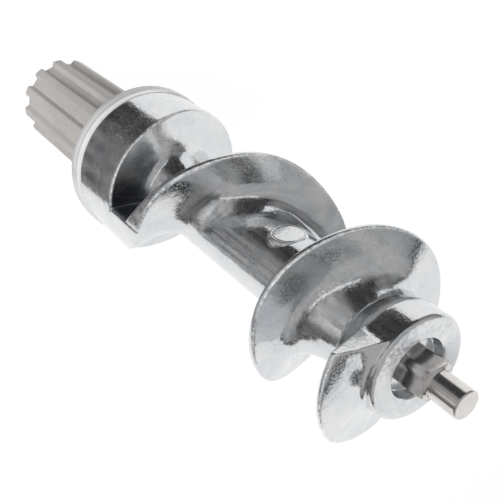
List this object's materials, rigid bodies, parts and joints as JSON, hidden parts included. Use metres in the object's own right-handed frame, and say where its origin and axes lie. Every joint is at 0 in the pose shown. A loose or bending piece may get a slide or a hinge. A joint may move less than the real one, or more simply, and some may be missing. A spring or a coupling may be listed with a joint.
{
  "type": "meat grinder auger",
  "caption": "Die-cast meat grinder auger: drum, helical flight with shortening pitch and collar on a round core, splined plastic drive sleeve behind, square steel knife pin in front.",
  "frame": {"origin": "centre of the drive sleeve's free end, on which the auger stands", "axes": "+Z along the auger's axis towards the knife pin; +Y towards the bare pad on the core"},
  "size_m": [0.043, 0.043, 0.1804],
  "materials": {
    "cast_aluminium": "die-cast aluminium, tumbled and polished",
    "grey_plastic": "moulded light grey plastic, satin",
    "pin_steel": "turned and milled stainless steel, bright"
  },
  "bodies": {
    "root": {"auger_casting": "cast_aluminium", "drive_sleeve": "grey_plastic", "knife_pin": "pin_steel"}
  },
  "joints": []
}
